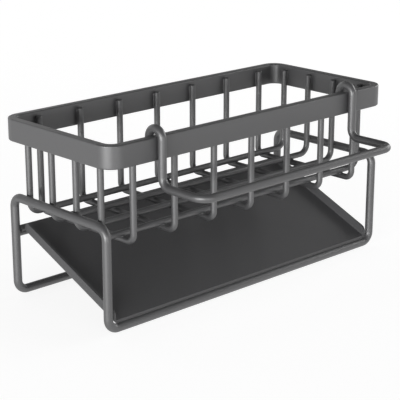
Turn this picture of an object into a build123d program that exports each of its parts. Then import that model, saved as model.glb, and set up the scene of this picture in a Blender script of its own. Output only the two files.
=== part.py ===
from build123d import *
import math
import os

# Kitchen sink caddy of coated steel wire: a looped stand, a wire basket with a flat rim,
# a towel rail hooked over the rim and a sloping drain tray.
# Frame: X runs along the long side, the towel rail is on the -Y side, Z is up, the rails lie at Z = 0.

# Gauges of the round wires and the sheet
FRAME_WIRE = 6.0
BASKET_WIRE = 4.5
TOWEL_WIRE = 5.7
SHEET = 1.8

# Basket rim
RIM_LENGTH = 266.0
RIM_WIDTH = 113.5
RIM_HEIGHT = 15.6
RIM_THICKNESS = 6.0
RIM_CORNER = 12.0
RIM_EDGE = 1.0
RIM_RISE = 55.0

# Basket wires
CROSS_COUNT = 7
CROSS_END_GAP = 25.75
LENGTH_COUNT = 4
LENGTH_SIDE_GAP = 18.8
FLOOR_DROP = 14.5
CROSS_BEND = 5.8
LENGTH_BEND = 7.5
LEG_DROP = 2.8
WIRE_END_EDGE = 0.5

# Stand
POST_SETBACK = 7.75
SIDE_BAR_HEIGHT = 71.8
FRAME_BEND = 7.5

# Towel rail
HOOK_END_GAP = 41.0
TOWEL_REACH = 38.0
TOWEL_DROP = 17.4
TOWEL_ARM_BEND = 7.0
TOWEL_CORNER = 9.0
HOOK_LEG_RISE = 1.6
HOOK_SETTLE = 1.5

# Drain tray
TRAY_SIDE_GAP = 1.7
TRAY_EAR_GAP = 0.5
TRAY_ROOM = 10.3
TRAY_WALL = 7.6
TRAY_BEND = 2.5
TRAY_FRONT_CORNER = 4.6
TRAY_REAR_CORNER = 2.5
TRAY_FLOOR_CORNER = 2.0
TRAY_WALL_SETBACK = 3.0
TRAY_FLOOR_OVERHANG = 1.6

# Fits
SHORTEST_RUN = 0.05
WELD_SINK = 0.15
HOOK_CLEARANCE = 0.3
TRAY_CLEARANCE = 0.3

# Shares
HALF = 0.5

# How high the basket hangs, from the stand's side bars
rim_top = SIDE_BAR_HEIGHT + RIM_RISE
rim_bottom = rim_top - RIM_HEIGHT
leg_top = rim_top - LEG_DROP
cross_floor = SIDE_BAR_HEIGHT - FLOOR_DROP
length_floor = cross_floor + BASKET_WIRE - WELD_SINK

# Where the basket wires stand, from the rim
leg_inset = RIM_THICKNESS + BASKET_WIRE * HALF - WELD_SINK
cross_leg_y = RIM_WIDTH * HALF - leg_inset
length_leg_x = RIM_LENGTH * HALF - leg_inset
first_cross_x = CROSS_END_GAP - RIM_LENGTH * HALF
first_length_y = LENGTH_SIDE_GAP - RIM_WIDTH * HALF
cross_pitch = -first_cross_x / ((CROSS_COUNT - 1) * HALF)
length_pitch = -first_length_y / ((LENGTH_COUNT - 1) * HALF)

# Where the stand's wire runs: its side bars lie against the legs of the lengthwise wires,
# and its posts stand under the rim, in line with the legs of the crosswise wires
post_x = length_leg_x + (BASKET_WIRE + FRAME_WIRE) * HALF - WELD_SINK
post_y = RIM_WIDTH * HALF - POST_SETBACK
rail_z = FRAME_WIRE * HALF

# The crossbar lies under the basket's floor, with room for the tray's walls between them
crossbar_z = cross_floor - BASKET_WIRE * HALF - TRAY_ROOM

# The tray's front edge lies over the front rail, and its floor slopes up to lie on the crossbar
tray_front_y = -post_y
tray_front_z = FRAME_WIRE + TRAY_CLEARANCE
tray_side = post_x - FRAME_WIRE * HALF - TRAY_SIDE_GAP
tray_ear = post_x - FRAME_WIRE * HALF - TRAY_EAR_GAP
tray_wall_end = post_y - TRAY_WALL_SETBACK
tray_floor_end = post_y + TRAY_FLOOR_OVERHANG
bar_rise = crossbar_z - tray_front_z
bar_run = post_y - tray_front_y
bar_clear_radius = BASKET_WIRE * HALF + TRAY_CLEARANCE
tray_slope = math.atan2(bar_rise, bar_run) + math.asin(bar_clear_radius / math.hypot(bar_rise, bar_run))
slope_cos = math.cos(tray_slope)
slope_sin = math.sin(tray_slope)
wall_reach = (tray_wall_end - tray_front_y) / slope_cos
floor_reach = (tray_floor_end - tray_front_y) / slope_cos

# Towel rail hooks
hook_gap = RIM_THICKNESS + HOOK_CLEARANCE + HOOK_CLEARANCE
hook_radius = (hook_gap + TOWEL_WIRE) * HALF
hook_centre_y = -(RIM_WIDTH - RIM_THICKNESS) * HALF
hook_centre_z = rim_top - HOOK_SETTLE
hook_x = RIM_LENGTH * HALF - HOOK_END_GAP
towel_z = rim_bottom - TOWEL_DROP


def corner_arc(before, corner, after, radius):
    """Start, middle and end of the arc that rounds one corner of a path."""
    to_before = (before - corner).normalized()
    to_after = (after - corner).normalized()
    half_angle = math.radians(to_before.get_angle(to_after)) * HALF
    reach = radius / math.tan(half_angle)
    bisector = (to_before + to_after).normalized()
    centre = corner + bisector * (radius / math.sin(half_angle))
    return corner + to_before * reach, centre - bisector * radius, corner + to_after * reach


def rounded_path(points, radii):
    """A path of straight runs joined by arcs, with a bend radius for each corner between its ends."""
    corners = [Vector(*point) for point in points]
    inner_corners = zip(corners, corners[1:], corners[2:], radii)
    arcs = [corner_arc(before, corner, after, radius) for before, corner, after, radius in inner_corners]
    edges = []
    start = corners[0]
    for arc_start, arc_middle, arc_end in arcs:
        if (arc_start - start).length > SHORTEST_RUN:
            edges.append(Line(start, arc_start))
        edges.append(ThreePointArc(arc_start, arc_middle, arc_end))
        start = arc_end
    edges.append(Line(start, corners[-1]))
    return Wire(edges)


def round_wire(path, gauge):
    """Round wire of one gauge along a path."""
    section = Plane(path @ 0, z_dir=path % 0) * Circle(gauge * HALF)
    return sweep(section, path=path, transition=Transition.ROUND)


def eased_ends(wire):
    """Take the sharp edge off both cut ends of a wire."""
    cut_ends = [face for face in wire.faces() if face.geom_type == GeomType.PLANE]
    rims = [edge for face in cut_ends for edge in face.edges()]
    return chamfer(rims, WIRE_END_EDGE)


def stand_frame():
    """The stand: one loop of thick wire with all eight corners bent."""
    corners = [
        (-post_x, -post_y, rail_z),
        (post_x, -post_y, rail_z),
        (post_x, -post_y, SIDE_BAR_HEIGHT),
        (post_x, post_y, SIDE_BAR_HEIGHT),
        (post_x, post_y, rail_z),
        (-post_x, post_y, rail_z),
        (-post_x, post_y, SIDE_BAR_HEIGHT),
        (-post_x, -post_y, SIDE_BAR_HEIGHT),
    ]
    front_middle = (0, -post_y, rail_z)
    rear_middle = (0, post_y, rail_z)
    right_run = [front_middle] + corners[1:5] + [rear_middle]
    left_run = [rear_middle] + corners[5:] + [corners[0], front_middle]
    halves = []
    for run in (right_run, left_run):
        bends = [FRAME_BEND for corner in run[1:-1]]
        halves.append(round_wire(rounded_path(run, bends), FRAME_WIRE))
    return halves[0] + halves[1]


def tray_crossbar():
    """Thin bar between the rear posts, its ends coped round the posts."""
    bar = Plane((-post_x, post_y, crossbar_z), z_dir=(1, 0, 0)) * Circle(BASKET_WIRE * HALF)
    bar = extrude(bar, amount=post_x + post_x)
    for side in (-post_x, post_x):
        post = Plane((side, post_y, 0)) * Circle(FRAME_WIRE * HALF - WELD_SINK)
        bar = bar - extrude(post, amount=SIDE_BAR_HEIGHT)
    return bar


def rim_band():
    """The rim: flat bar bent into a rounded rectangle with eased edges."""
    opening_length = RIM_LENGTH - RIM_THICKNESS - RIM_THICKNESS
    opening_width = RIM_WIDTH - RIM_THICKNESS - RIM_THICKNESS
    outline = RectangleRounded(RIM_LENGTH, RIM_WIDTH, RIM_CORNER)
    opening = RectangleRounded(opening_length, opening_width, RIM_CORNER - RIM_THICKNESS)
    band = extrude(Plane((0, 0, rim_bottom)) * (outline - opening), amount=RIM_HEIGHT)
    faces = band.faces().filter_by(Axis.Z)
    return fillet(faces.edges(), RIM_EDGE)


def cross_wire(x):
    """One U wire from the front of the rim under the basket to its rear."""
    points = [
        (x, -cross_leg_y, leg_top),
        (x, -cross_leg_y, cross_floor),
        (x, cross_leg_y, cross_floor),
        (x, cross_leg_y, leg_top),
    ]
    path = rounded_path(points, [CROSS_BEND, CROSS_BEND])
    return eased_ends(round_wire(path, BASKET_WIRE))


def length_wire(y):
    """One U wire from the left end of the rim along the basket to its right end."""
    points = [
        (-length_leg_x, y, leg_top),
        (-length_leg_x, y, length_floor),
        (length_leg_x, y, length_floor),
        (length_leg_x, y, leg_top),
    ]
    path = rounded_path(points, [LENGTH_BEND, LENGTH_BEND])
    return eased_ends(round_wire(path, BASKET_WIRE))


def towel_rail():
    """The towel rail: hooks over the rim, arms forward and a bar along the front."""
    inner_y = hook_centre_y + hook_radius
    outer_y = hook_centre_y - hook_radius
    bar_y = outer_y - TOWEL_REACH
    tip_z = rim_bottom + HOOK_LEG_RISE
    crown_z = hook_centre_z + hook_radius

    def hook(x):
        return [
            Line((x, inner_y, tip_z), (x, inner_y, hook_centre_z)),
            ThreePointArc((x, inner_y, hook_centre_z), (x, hook_centre_y, crown_z), (x, outer_y, hook_centre_z)),
        ]

    run = [
        (-hook_x, outer_y, hook_centre_z),
        (-hook_x, outer_y, towel_z),
        (-hook_x, bar_y, towel_z),
        (hook_x, bar_y, towel_z),
        (hook_x, outer_y, towel_z),
        (hook_x, outer_y, hook_centre_z),
    ]
    middle = rounded_path(run, [TOWEL_ARM_BEND, TOWEL_CORNER, TOWEL_CORNER, TOWEL_ARM_BEND])
    path = Wire(hook(-hook_x) + list(middle.edges()) + hook(hook_x))
    return eased_ends(round_wire(path, TOWEL_WIRE))


def slope_point(along, above):
    """A point of the tray's side view, along its underside from the front edge and above it."""
    return (
        tray_front_y + along * slope_cos - above * slope_sin,
        tray_front_z + along * slope_sin + above * slope_cos,
    )


def tray_channel(reach):
    """The bent sheet: floor and two side walls, run past both ends of the tray."""
    rear_y, rear_z = slope_point(reach, 0)
    rear_plane = Plane(origin=(0, rear_y, rear_z), x_dir=(1, 0, 0), z_dir=(0, -slope_cos, -slope_sin))
    inside = tray_side - SHEET
    feet = [(-tray_side, 0), (tray_side, 0)]
    outer = make_face(Polyline((-tray_side, TRAY_WALL), *feet, (tray_side, TRAY_WALL), close=True))
    outer = fillet(outer.vertices().group_by(Axis.Y)[0], TRAY_BEND)
    top = TRAY_WALL + SHEET
    inner = make_face(Polyline((-inside, top), (-inside, SHEET), (inside, SHEET), (inside, top), close=True))
    inner = fillet(inner.vertices().group_by(Axis.Y)[0], TRAY_BEND - SHEET)
    return extrude(rear_plane * (outer - inner), amount=reach + reach)


def tray_side_view():
    """Outline of the tray seen from its end: upright front, rounded wall ends, floor run on behind."""
    front_top = tray_front_z + TRAY_WALL / slope_cos
    outline = Polyline(
        (tray_front_y, tray_front_z),
        slope_point(floor_reach, 0),
        slope_point(floor_reach, SHEET),
        slope_point(wall_reach, SHEET),
        slope_point(wall_reach, TRAY_WALL),
        (tray_front_y, front_top),
        close=True,
    )
    face = make_face(Plane.YZ * outline)
    by_height = face.vertices().sort_by(Axis.Z)
    face = fillet(by_height[-1], TRAY_REAR_CORNER)
    front_corner = face.vertices().group_by(Axis.Y)[0].sort_by(Axis.Z)[-1]
    return fillet(front_corner, TRAY_FRONT_CORNER)


def tray_ears():
    """The strip of floor behind the walls, whose ends reach out to the rear posts."""
    outline = Polyline(
        slope_point(wall_reach, 0),
        slope_point(floor_reach, 0),
        slope_point(floor_reach, SHEET),
        slope_point(wall_reach, SHEET),
        close=True,
    )
    return extrude(Pos(-tray_ear) * make_face(Plane.YZ * outline), amount=tray_ear + tray_ear)


def drain_tray():
    """The drain tray: sloping sheet with side walls, open front and an eared rear lying on the crossbar."""
    envelope = extrude(Pos(-tray_side) * tray_side_view(), amount=tray_side + tray_side)
    tray = (tray_channel(floor_reach + TRAY_WALL) & envelope) + tray_ears()
    depth = tray_floor_end - tray_front_y
    plan = RectangleRounded(tray_ear + tray_ear, depth + depth, TRAY_FLOOR_CORNER)
    return tray & extrude(Pos(0, tray_front_y) * plan, amount=rim_top)


if __name__ == "__main__":
    os.makedirs("parts", exist_ok=True)
    nodes = {
        "stand_frame": stand_frame(),
        "tray_crossbar": tray_crossbar(),
        "rim_band": rim_band(),
        "towel_rail": towel_rail(),
        "drain_tray": drain_tray(),
    }
    for number in range(CROSS_COUNT):
        nodes[f"cross_wire_{number + 1}"] = cross_wire(first_cross_x + number * cross_pitch)
    for number in range(LENGTH_COUNT):
        nodes[f"length_wire_{number + 1}"] = length_wire(first_length_y + number * length_pitch)
    for name, solid in nodes.items():
        export_step(solid, f"parts/{name}.step")
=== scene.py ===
"""Sink caddy of dark coated steel wire: finishes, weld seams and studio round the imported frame."""

from __future__ import annotations

import logging
import math
from dataclasses import dataclass, field
from enum import Enum

import bmesh
import bpy
from mathutils import Matrix, Vector


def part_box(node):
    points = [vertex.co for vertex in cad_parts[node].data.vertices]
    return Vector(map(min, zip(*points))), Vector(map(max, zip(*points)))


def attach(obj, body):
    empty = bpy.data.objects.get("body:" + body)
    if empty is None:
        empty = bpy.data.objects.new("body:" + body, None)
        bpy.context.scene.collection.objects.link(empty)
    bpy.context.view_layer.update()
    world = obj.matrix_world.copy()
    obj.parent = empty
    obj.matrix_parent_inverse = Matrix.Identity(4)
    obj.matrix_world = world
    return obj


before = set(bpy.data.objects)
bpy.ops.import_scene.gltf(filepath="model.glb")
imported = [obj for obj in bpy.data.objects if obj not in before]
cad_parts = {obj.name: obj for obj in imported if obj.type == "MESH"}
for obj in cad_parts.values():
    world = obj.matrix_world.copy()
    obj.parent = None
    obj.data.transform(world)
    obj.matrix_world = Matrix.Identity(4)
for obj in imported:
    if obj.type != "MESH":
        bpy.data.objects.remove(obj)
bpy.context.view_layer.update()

log = logging.getLogger("sink_caddy")

# The noise behind the coat's effects. Scales are in cells a metre.
NOISE_MIDDLE = 0.5
WAVE_DETAIL = 2.0
WAVE_ROUGHNESS = 0.45
GRAIN_DETAIL = 1.0
GRAIN_SHARE = 0.22
DRIFT_SCALE = 24.0
DRIFT_DETAIL = 3.0
FLECK_SCALE = 1900.0
FLECK_DETAIL = 0.0
PATCH_SCALE = 55.0
PATCH_DETAIL = 4.0
PATCH_ROUGHNESS = 0.6

# Sockets of the Mix node by number, because its names repeat for each kind of value.
MIX_NUMBER_A = 2
MIX_NUMBER_B = 3
MIX_NUMBER_RESULT = 0
MIX_COLOUR_A = 6
MIX_COLOUR_B = 7
MIX_COLOUR_RESULT = 2


class Body(Enum):
    """The rigid bodies that the pieces ride on."""

    CADDY = "caddy"
    TOWEL_RAIL = "towel_rail"
    DRAIN_TRAY = "drain_tray"


# ---- shader node groups ----


@dataclass
class GroupSocket:
    """One named input or output of a shader node group."""

    name: str
    kind: str = "NodeSocketFloat"


class EffectGroup:
    """A shader node group with named inputs and outputs."""

    def __init__(self, name: str, inputs: list[GroupSocket], outputs: list[GroupSocket]) -> None:
        """Make the group and its two end nodes.

        Args:
            name: The group's name.
            inputs: Its inputs, in order.
            outputs: Its outputs, in order.
        """
        self.tree = bpy.data.node_groups.new(name, "ShaderNodeTree")
        for way, sockets in (("INPUT", inputs), ("OUTPUT", outputs)):
            for socket in sockets:
                self.tree.interface.new_socket(
                    name=socket.name, in_out=way, socket_type=socket.kind
                )
        self.inside = self.tree.nodes.new("NodeGroupInput")
        self.outside = self.tree.nodes.new("NodeGroupOutput")

    def node(self, kind: str, **settings: object) -> bpy.types.Node:
        """Add a node to the group.

        Args:
            kind: The node's type name.
            settings: Attributes to set on it.

        Returns:
            The new node.
        """
        made = self.tree.nodes.new(kind)
        for name, value in settings.items():
            setattr(made, name, value)
        return made

    def math(self, operation: str, first: object, second: object) -> bpy.types.NodeSocket:
        """Add a maths node and wire or set its inputs.

        Args:
            operation: The node's operation.
            first: A socket or a number.
            second: A socket or a number.

        Returns:
            The node's output socket.
        """
        made = self.node("ShaderNodeMath", operation=operation)
        for index, value in enumerate((first, second)):
            if isinstance(value, bpy.types.NodeSocket):
                self.link(value, made.inputs[index])
            else:
                made.inputs[index].default_value = value
        return made.outputs[0]

    def link(self, start: bpy.types.NodeSocket, end: bpy.types.NodeSocket) -> None:
        """Join two sockets."""
        self.tree.links.new(start, end)


def orange_peel_group() -> EffectGroup:
    """Low waves and finer grains that a baked coating leaves.

    Returns:
        The group, which puts out a height.
    """
    group = EffectGroup(
        "orange_peel",
        [
            GroupSocket("Place", "NodeSocketVector"),
            GroupSocket("Waves"),
            GroupSocket("Grains"),
        ],
        [GroupSocket("Height")],
    )
    waves = group.node("ShaderNodeTexNoise")
    waves.inputs["Detail"].default_value = WAVE_DETAIL
    waves.inputs["Roughness"].default_value = WAVE_ROUGHNESS
    grains = group.node("ShaderNodeTexNoise")
    grains.inputs["Detail"].default_value = GRAIN_DETAIL
    for noise, scale in ((waves, "Waves"), (grains, "Grains")):
        group.link(group.inside.outputs["Place"], noise.inputs["Vector"])
        group.link(group.inside.outputs[scale], noise.inputs["Scale"])
    fine = group.math("MULTIPLY", grains.outputs["Fac"], GRAIN_SHARE)
    group.link(group.math("ADD", waves.outputs["Fac"], fine), group.outside.inputs["Height"])
    return group


def mottle_group() -> EffectGroup:
    """Slow drift of shade over a coated face, and the fine flecks in it.

    Returns:
        The group, which puts out a shade round 1.
    """
    group = EffectGroup(
        "coat_mottle",
        [
            GroupSocket("Place", "NodeSocketVector"),
            GroupSocket("Drift"),
            GroupSocket("Fleck"),
        ],
        [GroupSocket("Shade")],
    )
    slow = group.node("ShaderNodeTexNoise")
    slow.inputs["Scale"].default_value = DRIFT_SCALE
    slow.inputs["Detail"].default_value = DRIFT_DETAIL
    fast = group.node("ShaderNodeTexNoise")
    fast.inputs["Scale"].default_value = FLECK_SCALE
    fast.inputs["Detail"].default_value = FLECK_DETAIL
    for noise in (slow, fast):
        group.link(group.inside.outputs["Place"], noise.inputs["Vector"])
    drift = group.math("SUBTRACT", slow.outputs["Fac"], NOISE_MIDDLE)
    drift = group.math("MULTIPLY", drift, group.inside.outputs["Drift"])
    fleck = group.math("SUBTRACT", fast.outputs["Fac"], NOISE_MIDDLE)
    fleck = group.math("MULTIPLY", fleck, group.inside.outputs["Fleck"])
    shade = group.math("ADD", group.math("ADD", drift, fleck), 1.0)
    group.link(shade, group.outside.inputs["Shade"])
    return group


def gloss_drift_group() -> EffectGroup:
    """Patches where the coating cured a little glossier or duller.

    Returns:
        The group, which puts out a roughness.
    """
    group = EffectGroup(
        "gloss_drift",
        [
            GroupSocket("Place", "NodeSocketVector"),
            GroupSocket("Roughness"),
            GroupSocket("Spread"),
        ],
        [GroupSocket("Roughness")],
    )
    patches = group.node("ShaderNodeTexNoise")
    patches.inputs["Scale"].default_value = PATCH_SCALE
    patches.inputs["Detail"].default_value = PATCH_DETAIL
    patches.inputs["Roughness"].default_value = PATCH_ROUGHNESS
    group.link(group.inside.outputs["Place"], patches.inputs["Vector"])
    offset = group.math("SUBTRACT", patches.outputs["Fac"], NOISE_MIDDLE)
    offset = group.math("MULTIPLY", offset, group.inside.outputs["Spread"])
    rough = group.math("ADD", offset, group.inside.outputs["Roughness"])
    group.link(rough, group.outside.inputs["Roughness"])
    return group


@dataclass
class Effects:
    """The node groups that the finishes share, each made once."""

    orange_peel: EffectGroup = field(default_factory=orange_peel_group)
    mottle: EffectGroup = field(default_factory=mottle_group)
    gloss_drift: EffectGroup = field(default_factory=gloss_drift_group)


# ---- finishes ----


@dataclass(frozen=True)
class CoatFinish:
    """A baked dark grey coating on steel."""

    name: str
    colour: tuple[float, float, float] = (0.052, 0.052, 0.0538)
    roughness: float = 0.44
    gloss_spread: float = 0.06
    drift: float = 0.05
    fleck: float = 0.05
    waves: float = 420.0
    grains: float = 2600.0
    bump: float = 0.12
    bump_depth: float = 0.00006
    ior: float = 1.85

    def material(self, effects: Effects) -> bpy.types.Material:
        """Build the node material of this coating.

        Args:
            effects: The shared node groups.

        Returns:
            The material.
        """
        made = bpy.data.materials.new(self.name)
        made.use_nodes = True
        tree = made.node_tree
        tree.nodes.clear()
        output = tree.nodes.new("ShaderNodeOutputMaterial")
        coat = tree.nodes.new("ShaderNodeBsdfPrincipled")
        coat.inputs["IOR"].default_value = self.ior
        place = tree.nodes.new("ShaderNodeTexCoord")

        mottle = tree.nodes.new("ShaderNodeGroup")
        mottle.node_tree = effects.mottle.tree
        mottle.inputs["Drift"].default_value = self.drift
        mottle.inputs["Fleck"].default_value = self.fleck
        shade = tree.nodes.new("ShaderNodeMix")
        shade.data_type = "RGBA"
        shade.blend_type = "MULTIPLY"
        shade.inputs["Factor"].default_value = 1.0
        shade.inputs[MIX_COLOUR_A].default_value = (*self.colour, 1.0)

        gloss = tree.nodes.new("ShaderNodeGroup")
        gloss.node_tree = effects.gloss_drift.tree
        gloss.inputs["Roughness"].default_value = self.roughness
        gloss.inputs["Spread"].default_value = self.gloss_spread

        peel = tree.nodes.new("ShaderNodeGroup")
        peel.node_tree = effects.orange_peel.tree
        peel.inputs["Waves"].default_value = self.waves
        peel.inputs["Grains"].default_value = self.grains
        bump = tree.nodes.new("ShaderNodeBump")
        bump.inputs["Strength"].default_value = self.bump
        bump.inputs["Distance"].default_value = self.bump_depth

        join = tree.links.new
        for group in (mottle, gloss, peel):
            join(place.outputs["Object"], group.inputs["Place"])
        join(mottle.outputs["Shade"], shade.inputs[MIX_COLOUR_B])
        join(shade.outputs[MIX_COLOUR_RESULT], coat.inputs["Base Color"])
        join(gloss.outputs["Roughness"], coat.inputs["Roughness"])
        join(peel.outputs["Height"], bump.inputs["Height"])
        join(bump.outputs["Normal"], coat.inputs["Normal"])
        join(coat.outputs["BSDF"], output.inputs["Surface"])
        return made


FLAT_BAR_COAT = CoatFinish("flat_bar_coat")
THICK_WIRE_COAT = CoatFinish("thick_wire_coat", waves=520.0)
THIN_WIRE_COAT = CoatFinish("thin_wire_coat", waves=620.0)
SHEET_COAT = CoatFinish(
    "sheet_coat", colour=(0.058, 0.058, 0.06), roughness=0.56, drift=0.08, waves=300.0, ior=1.6
)
WELD_COAT = CoatFinish("weld_coat", roughness=0.42, bump=0.3, waves=900.0)


# ---- mesh pieces ----

NUGGET_FINENESS = 3
SEAM_SIDES = 12
SEAM_END_STEPS = 5
SEAM_BODY_SHARES = (0.25, 0.5, 0.75)


def mesh_piece(
    name: str, mesh: bmesh.types.BMesh, material: bpy.types.Material, body: Body
) -> bpy.types.Object:
    """Turn built geometry into a smooth piece that rides on a body.

    Args:
        name: The piece's name.
        mesh: Its geometry, in metres. It is freed here.
        material: Its finish.
        body: The body that carries it.

    Returns:
        The piece.
    """
    data = bpy.data.meshes.new(name)
    bmesh.ops.recalc_face_normals(mesh, faces=mesh.faces)
    mesh.to_mesh(data)
    mesh.free()
    for face in data.polygons:
        face.use_smooth = True
    data.materials.append(material)
    piece = bpy.data.objects.new(name, data)
    bpy.context.scene.collection.objects.link(piece)
    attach(piece, body.value)
    return piece


def dress_node(node: str, material: bpy.types.Material) -> None:
    """Give a node of the frame its finish.

    Args:
        node: The node's name.
        material: The finish.
    """
    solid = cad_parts[node]
    for slot in solid.material_slots:
        slot.material = material
    log.info("dressed %s in %s", node, material.name)


def add_nugget(
    mesh: bmesh.types.BMesh, centre: Vector, half_sizes: tuple[float, float, float]
) -> None:
    """Add one rounded weld nugget.

    Args:
        mesh: The geometry to add to.
        centre: Its middle.
        half_sizes: Its half sizes along X, Y and Z.
    """
    place = Matrix.Translation(centre) @ Matrix.Diagonal((*half_sizes, 1.0))
    bmesh.ops.create_icosphere(mesh, subdivisions=NUGGET_FINENESS, radius=1.0, matrix=place)


def add_seam(mesh: bmesh.types.BMesh, low: Vector, high: Vector, radius: float) -> None:
    """Add one straight weld seam, an upright bead with rounded ends.

    Args:
        mesh: The geometry to add to.
        low: The middle of its lower end.
        high: The middle of its upper end.
        radius: Its radius.
    """
    turns = [step / SEAM_END_STEPS * math.pi / 2 for step in range(1, SEAM_END_STEPS + 1)]
    ends = [(radius * (1 - math.cos(turn)), radius * math.sin(turn)) for turn in turns]
    body_start = low + Vector((0, 0, radius))
    body_span = high - low - Vector((0, 0, 2 * radius))
    rings = [(low + Vector((0, 0, inward)), size) for inward, size in ends]
    rings += [(body_start + body_span * share, radius) for share in SEAM_BODY_SHARES]
    rings += [(high - Vector((0, 0, inward)), size) for inward, size in reversed(ends)]
    loops = []
    for middle, size in rings:
        loop = []
        for side in range(SEAM_SIDES):
            turn = side / SEAM_SIDES * math.tau
            offset = Vector((size * math.cos(turn), size * math.sin(turn), 0))
            loop.append(mesh.verts.new(middle + offset))
        loops.append(loop)
    for lower, upper in zip(loops, loops[1:]):
        for side in range(SEAM_SIDES):
            after = (side + 1) % SEAM_SIDES
            mesh.faces.new((lower[side], lower[after], upper[after], upper[side]))
    mesh.faces.new(list(reversed(loops[0])))
    mesh.faces.new(loops[-1])


@dataclass
class Basket:
    """The wire basket: a flat rim and two sets of U wires welded to it and to each other."""

    cross_wires: int = 7
    length_wires: int = 4
    nugget_spread: float = 0.0019
    nugget_height: float = 0.0007
    seam_radius: float = 0.00055
    seam_offset: float = 0.00135
    seam_end_gap: float = 0.0009
    seam_sink: float = 0.55

    def names(self, stem: str, count: int) -> list[str]:
        """Names of one set of wires."""
        return [f"{stem}_{number + 1}" for number in range(count)]

    def cross_places(self) -> list[float]:
        """X of each crosswise wire's middle."""
        names = self.names("cross_wire", self.cross_wires)
        return [sum(corner.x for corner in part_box(name)) / 2 for name in names]

    def length_places(self) -> list[float]:
        """Y of each lengthwise wire's middle."""
        names = self.names("length_wire", self.length_wires)
        return [sum(corner.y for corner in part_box(name)) / 2 for name in names]

    def build_floor_welds(self, material: bpy.types.Material) -> bpy.types.Object:
        """Add the spot welds where the wires of the floor cross.

        Args:
            material: Their finish.

        Returns:
            The piece that holds them.
        """
        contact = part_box("length_wire_1")[0].z
        half_sizes = (self.nugget_spread, self.nugget_spread, self.nugget_height)
        mesh = bmesh.new()
        for x in self.cross_places():
            for y in self.length_places():
                add_nugget(mesh, Vector((x, y, contact)), half_sizes)
        return mesh_piece("floor_welds", mesh, material, Body.CADDY)

    def build_rim_seams(self, material: bpy.types.Material) -> bpy.types.Object:
        """Add the thin seams along both sides of each leg where it lies on the rim.

        Args:
            material: Their finish.

        Returns:
            The piece that holds them.
        """
        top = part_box("cross_wire_1")[1].z - self.seam_end_gap
        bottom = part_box("rim_band")[0].z + self.seam_end_gap
        wall_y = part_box("cross_wire_1")[1].y
        wall_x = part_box("length_wire_1")[1].x
        inset = self.seam_radius * self.seam_sink
        pairs = [(end, side * self.seam_offset) for end in (-1, 1) for side in (-1, 1)]
        places = [
            (x + aside, end * (wall_y - inset))
            for x in self.cross_places()
            for end, aside in pairs
        ]
        places += [
            (end * (wall_x - inset), y + aside)
            for y in self.length_places()
            for end, aside in pairs
        ]
        mesh = bmesh.new()
        for x, y in places:
            add_seam(mesh, Vector((x, y, bottom)), Vector((x, y, top)), self.seam_radius)
        return mesh_piece("rim_seams", mesh, material, Body.CADDY)

    def dress(self, band: bpy.types.Material, wire: bpy.types.Material) -> None:
        """Give the rim and the wires their finishes.

        Args:
            band: The rim's finish.
            wire: The wires' finish.
        """
        dress_node("rim_band", band)
        sets = (("cross_wire", self.cross_wires), ("length_wire", self.length_wires))
        for stem, count in sets:
            for name in self.names(stem, count):
                dress_node(name, wire)


@dataclass
class Stand:
    """The looped stand and its thin crossbar, with the welds that hold the basket."""

    wire: float = 0.006
    nugget_spread: float = 0.0021
    nugget_height: float = 0.0008

    def build_side_welds(self, basket: Basket, material: bpy.types.Material) -> bpy.types.Object:
        """Add the spot welds between the side bars and the basket's lengthwise wires.

        Args:
            basket: The basket that hangs in the stand.
            material: Their finish.

        Returns:
            The piece that holds them.
        """
        bar_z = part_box("stand_frame")[1].z - self.wire / 2
        contact_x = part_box("length_wire_1")[1].x
        half_sizes = (self.nugget_height, self.nugget_spread, self.nugget_spread)
        mesh = bmesh.new()
        for y in basket.length_places():
            for end in (-1, 1):
                add_nugget(mesh, Vector((end * contact_x, y, bar_z)), half_sizes)
        return mesh_piece("side_welds", mesh, material, Body.CADDY)

    def dress(self, frame_coat: bpy.types.Material, bar_coat: bpy.types.Material) -> None:
        """Give the stand's wire and its crossbar their finishes."""
        dress_node("stand_frame", frame_coat)
        dress_node("tray_crossbar", bar_coat)


@dataclass
class TowelRail:
    """The towel rail that hooks over the rim."""

    node: str = "towel_rail"

    def dress(self, coat: bpy.types.Material) -> None:
        """Give the rail its finish."""
        dress_node(self.node, coat)


@dataclass
class DrainTray:
    """The sloping drain tray."""

    node: str = "drain_tray"

    def dress(self, coat: bpy.types.Material) -> None:
        """Give the tray its finish."""
        dress_node(self.node, coat)


# ---- studio ----


@dataclass(frozen=True)
class SoftBox:
    """One soft area lamp that stands round the caddy and faces it.

    The bearing is in degrees from +X towards +Y, the other sizes are in metres.
    """

    name: str
    bearing: float
    distance: float
    middle: float
    width: float
    height: float
    watts: float
    aim: tuple[float, float, float] = (0.0, 0.0, 0.07)

    def build(self) -> None:
        """Make the lamp and turn it to its aim."""
        data = bpy.data.lights.new(self.name, "AREA")
        data.shape = "RECTANGLE"
        data.size = self.width
        data.size_y = self.height
        data.energy = self.watts
        turn = math.radians(self.bearing)
        place = Vector((
            self.distance * math.cos(turn), self.distance * math.sin(turn), self.middle
        ))
        lamp = bpy.data.objects.new(self.name, data)
        lamp.location = place
        lamp.rotation_euler = (Vector(self.aim) - place).to_track_quat("-Z", "Y").to_euler()
        lamp.visible_camera = False
        bpy.context.scene.collection.objects.link(lamp)


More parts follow.
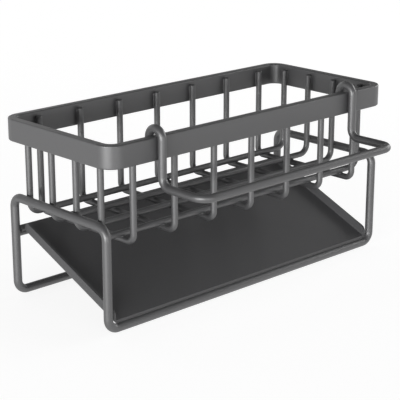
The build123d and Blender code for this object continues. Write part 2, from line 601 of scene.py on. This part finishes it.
@dataclass
class Studio:
    """Pale floor, plain surroundings, soft lamps and the camera."""

    camera_place: tuple[float, float, float] = (-0.63344, -0.66713, 0.34025)
    camera_heading: float = 46.599
    camera_dip: float = 17.392
    lens: float = 119.995
    sensor: float = 36.0
    nearest: float = 0.01
    floor_size: float = 8.0
    floor_cells: int = 8
    floor_level: float = -0.0002
    horizon_shade: float = 1.0
    zenith_shade: float = 0.15
    horizon_end: float = 0.1
    zenith_start: float = 0.25
    floor_colour: float = 0.6
    seen_colour: float = 0.3
    seen_glow: float = 0.85
    fade_start: float = 0.45
    fade_end: float = 1.3
    lamps: tuple[SoftBox, ...] = (
        SoftBox("left_softbox", 202.0, 2.2, 0.2, 1.7, 0.4, 51.0),
        SoftBox("front_softbox", 260.0, 2.2, 0.2, 1.0, 0.4, 8.5),
        SoftBox("right_softbox", 350.0, 1.87, 0.72, 1.46, 0.63, 15.0),
        SoftBox("rear_softbox", 90.0, 1.8, 0.88, 2.3, 1.0, 7.0),
    )

    def build_camera(self) -> None:
        """Set the camera at the photograph's viewing angle."""
        data = bpy.data.cameras.new("camera")
        data.lens = self.lens
        data.sensor_width = self.sensor
        data.clip_start = self.nearest
        camera = bpy.data.objects.new("camera", data)
        camera.location = self.camera_place
        tilt = math.radians(90 - self.camera_dip)
        turn = math.radians(self.camera_heading - 90)
        camera.rotation_euler = (tilt, 0.0, turn)
        bpy.context.scene.collection.objects.link(camera)
        bpy.context.scene.camera = camera

    def floor_material(self) -> bpy.types.Material:
        """Build the floor's finish: grey to the lamps, near white to the camera and in reflections.

        Returns:
            The material.
        """
        material = bpy.data.materials.new("pale_floor")
        material.use_nodes = True
        tree = material.node_tree
        tree.nodes.clear()
        join = tree.links.new
        path = tree.nodes.new("ShaderNodeLightPath")
        seen = path.outputs["Is Camera Ray"]
        for way in ("Is Glossy Ray", "Is Transmission Ray"):
            either = tree.nodes.new("ShaderNodeMath")
            either.operation = "MAXIMUM"
            join(seen, either.inputs[0])
            join(path.outputs[way], either.inputs[1])
            seen = either.outputs[0]
        ground = tree.nodes.new("ShaderNodeTexCoord")
        reach = tree.nodes.new("ShaderNodeVectorMath")
        reach.operation = "LENGTH"
        join(ground.outputs["Object"], reach.inputs[0])
        shown_colour = tree.nodes.new("ShaderNodeMapRange")
        shown_glow = tree.nodes.new("ShaderNodeMapRange")
        fades = ((shown_colour, self.seen_colour, 0.0), (shown_glow, self.seen_glow, 1.0))
        for fade, near, far in fades:
            fade.interpolation_type = "SMOOTHSTEP"
            fade.inputs["From Min"].default_value = self.fade_start
            fade.inputs["From Max"].default_value = self.fade_end
            fade.inputs["To Min"].default_value = near
            fade.inputs["To Max"].default_value = far
            join(reach.outputs["Value"], fade.inputs["Value"])
        colour = tree.nodes.new("ShaderNodeMix")
        colour.inputs[MIX_NUMBER_A].default_value = self.floor_colour
        join(seen, colour.inputs["Factor"])
        join(shown_colour.outputs["Result"], colour.inputs[MIX_NUMBER_B])
        matte = tree.nodes.new("ShaderNodeBsdfDiffuse")
        join(colour.outputs[MIX_NUMBER_RESULT], matte.inputs["Color"])
        strength = tree.nodes.new("ShaderNodeMath")
        strength.operation = "MULTIPLY"
        join(seen, strength.inputs[0])
        join(shown_glow.outputs["Result"], strength.inputs[1])
        glow = tree.nodes.new("ShaderNodeEmission")
        join(strength.outputs[0], glow.inputs["Strength"])
        both = tree.nodes.new("ShaderNodeAddShader")
        join(matte.outputs[0], both.inputs[0])
        join(glow.outputs[0], both.inputs[1])
        output = tree.nodes.new("ShaderNodeOutputMaterial")
        join(both.outputs[0], output.inputs["Surface"])
        return material

    def build_floor(self) -> None:
        """Lay the pale floor, which shows white to the camera but for the caddy's soft shadow."""
        mesh = bmesh.new()
        cells = self.floor_cells
        bmesh.ops.create_grid(mesh, x_segments=cells, y_segments=cells, size=self.floor_size / 2)
        data = bpy.data.meshes.new("floor")
        mesh.to_mesh(data)
        mesh.free()
        floor = bpy.data.objects.new("floor", data)
        floor.location.z = self.floor_level
        bpy.context.scene.collection.objects.link(floor)
        data.materials.append(self.floor_material())

    def build_room(self) -> None:
        """Surround the caddy with an even room, white round the horizon and dim above."""
        world = bpy.data.worlds.new("room")
        bpy.context.scene.world = world
        world.use_nodes = True
        tree = world.node_tree
        tree.nodes.clear()
        output = tree.nodes.new("ShaderNodeOutputWorld")
        room = tree.nodes.new("ShaderNodeBackground")
        room.inputs["Color"].default_value = (1.0, 1.0, 1.0, 1.0)
        heading = tree.nodes.new("ShaderNodeTexCoord")
        parts = tree.nodes.new("ShaderNodeSeparateXYZ")
        fall = tree.nodes.new("ShaderNodeMapRange")
        fall.interpolation_type = "SMOOTHSTEP"
        fall.inputs["From Min"].default_value = self.horizon_end
        fall.inputs["From Max"].default_value = self.zenith_start
        fall.inputs["To Min"].default_value = self.horizon_shade
        fall.inputs["To Max"].default_value = self.zenith_shade
        tree.links.new(heading.outputs["Generated"], parts.inputs[0])
        tree.links.new(parts.outputs["Z"], fall.inputs["Value"])
        tree.links.new(fall.outputs["Result"], room.inputs["Strength"])
        tree.links.new(room.outputs[0], output.inputs["Surface"])

    def build(self) -> None:
        """Build the whole studio."""
        bpy.context.scene.view_settings.view_transform = "Standard"
        self.build_camera()
        self.build_floor()
        self.build_room()
        for lamp in self.lamps:
            lamp.build()


def main() -> None:
    """Build the studio, then each sub-assembly, and report every piece."""
    logging.basicConfig(level=logging.INFO, format="%(name)s: %(message)s")
    Studio().build()
    effects = Effects()
    weld = WELD_COAT.material(effects)
    thin_wire = THIN_WIRE_COAT.material(effects)
    thick_wire = THICK_WIRE_COAT.material(effects)

    basket = Basket()
    basket.dress(FLAT_BAR_COAT.material(effects), thin_wire)
    for piece in (basket.build_floor_welds(weld), basket.build_rim_seams(weld)):
        log.info("built %s", piece.name)

    stand = Stand()
    stand.dress(thick_wire, thin_wire)
    log.info("built %s", stand.build_side_welds(basket, weld).name)

    TowelRail().dress(thick_wire)
    DrainTray().dress(SHEET_COAT.material(effects))


if __name__ == "__main__":
    main()
